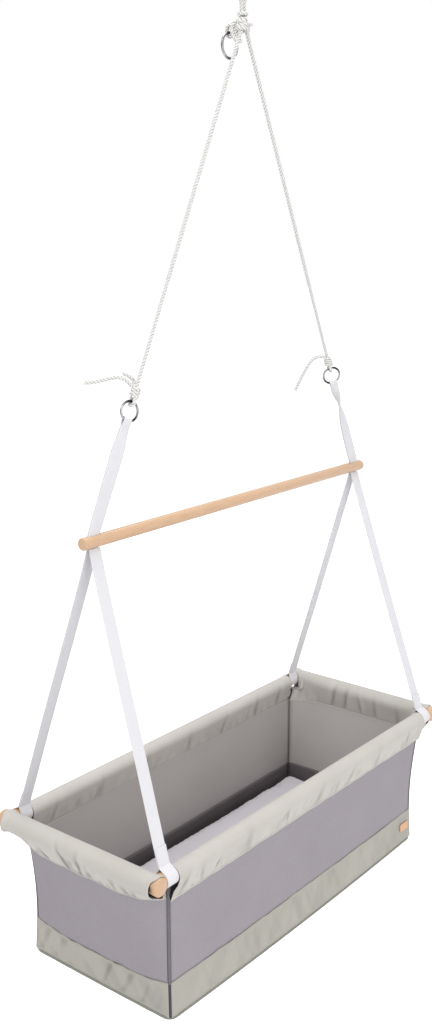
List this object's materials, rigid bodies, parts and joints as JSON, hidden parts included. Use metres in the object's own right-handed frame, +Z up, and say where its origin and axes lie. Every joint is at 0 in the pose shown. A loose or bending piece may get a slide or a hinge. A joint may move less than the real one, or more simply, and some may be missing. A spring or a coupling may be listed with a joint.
{
  "type": "hanging baby cradle",
  "caption": "Hanging baby cradle: fabric crib with mesh walls and a mattress on a dowel rim, hung by webbing straps, a spreader bar and a knotted rope sling with metal rings.",
  "frame": {"origin": "where a hook bears on the inside of the hanging loop, at the top", "axes": "+Z up, +X along the crib's long sides, +Y across it; the near long side is -Y and the left end is -X"},
  "size_m": [0.886, 0.3606, 1.6397],
  "materials": {
    "rope": "laid cotton rope, matt off-white",
    "webbing": "flat woven webbing, off-white",
    "chrome": "polished chrome plate",
    "wood": "smooth pale pine, clear matt lacquer",
    "steel": "zinc-plated screw",
    "sleeve_cloth": "coated woven cloth, soft sheen, grey-green",
    "mesh_cloth": "fine knitted mesh, grey",
    "lining_cloth": "plain woven cloth, dark grey",
    "binding": "narrow woven tape, dark grey",
    "welt": "corded piping, grey-green",
    "board": "plain hardboard",
    "mattress_cover": "brushed cotton, white, with cross channels",
    "leather": "smooth tan leather, bare"
  },
  "bodies": {
    "loop": {"hanging_loop": "rope"},
    "collar": {"collar_turn": "rope"},
    "knot": {"top_knot": "rope"},
    "top_ring": {"top_ring": "chrome"},
    "hanger": {"rope_leg_left": "rope", "rope_leg_right": "rope", "ring_knot_left": "rope", "ring_knot_right": "rope", "rope_tail_left_long": "rope", "rope_tail_left_short": "rope", "rope_tail_right": "rope", "upper_strap_left": "webbing", "upper_strap_right": "webbing", "spreader_bar": "wood"},
    "ring_left": {"ring_left": "chrome"},
    "ring_right": {"ring_right": "chrome"},
    "crib": {"lower_strap_near_left": "webbing", "lower_strap_far_left": "webbing", "lower_strap_near_right": "webbing", "lower_strap_far_right": "webbing", "long_dowel_near": "wood", "long_dowel_far": "wood", "short_dowel_left": "wood", "short_dowel_right": "wood", "corner_screw_near_left": "steel", "corner_screw_far_left": "steel", "corner_screw_near_right": "steel", "corner_screw_far_right": "steel", "sleeve_near": "sleeve_cloth", "sleeve_far": "sleeve_cloth", "sleeve_left": "sleeve_cloth", "sleeve_right": "sleeve_cloth", "mesh_panel_near": "mesh_cloth", "mesh_panel_far": "mesh_cloth", "mesh_panel_left": "mesh_cloth", "mesh_panel_right": "mesh_cloth", "lower_band_near": "sleeve_cloth", "lower_band_far": "sleeve_cloth", "lower_band_left": "sleeve_cloth", "lower_band_right": "sleeve_cloth", "lining_near": "lining_cloth", "lining_far": "lining_cloth", "lining_left": "lining_cloth", "lining_right": "lining_cloth", "corner_binding_near_left": "binding", "corner_binding_far_left": "binding", "corner_binding_near_right": "binding", "corner_binding_far_right": "binding", "base_welt": "welt", "floor_panel": "sleeve_cloth", "base_board": "board", "leather_label": "leather"},
    "mattress": {"mattress": "mattress_cover"}
  },
  "joints": [
    {"name": "turn", "type": "hinge", "parent": "loop", "child": "collar", "pos_m": [0, 0, -0.0427], "axis": [0, 0, 1], "range_deg": [-60, 60], "stiffness_Nm_per_rad": 0.05},
    {"name": "swing_sideways", "type": "hinge", "parent": "collar", "child": "knot", "pos_m": [0, 0, -0.06], "axis": [1, 0, 0], "range_deg": [-15, 15]},
    {"name": "swing_lengthways", "type": "hinge", "parent": "knot", "child": "hanger", "pos_m": [0, 0, -0.06], "axis": [0, 1, 0], "range_deg": [-15, 15]},
    {"name": "crib_rock", "type": "hinge", "parent": "hanger", "child": "crib", "pos_m": [0, 0, -0.858], "axis": [1, 0, 0], "range_deg": [-12, 12]},
    {"name": "mattress_lift", "type": "slide", "parent": "crib", "child": "mattress", "axis": [0, 0, 1], "range_m": [0, 0.22]},
    {"name": "top_ring_swing", "type": "hinge", "parent": "knot", "child": "top_ring", "pos_m": [-0.003, 0.0245, -0.075], "axis": [1, 0, 0], "range_deg": [-20, 60]},
    {"name": "ring_left_turn", "type": "hinge", "parent": "hanger", "child": "ring_left", "pos_m": [-0.286, 0, -0.665], "axis": [-0.1877, -0.9781, 0.0895], "continuous": true},
    {"name": "ring_right_turn", "type": "hinge", "parent": "hanger", "child": "ring_right", "pos_m": [0.286, 0, -0.665], "axis": [-0.5825, -0.766, -0.2719], "continuous": true}
  ]
}
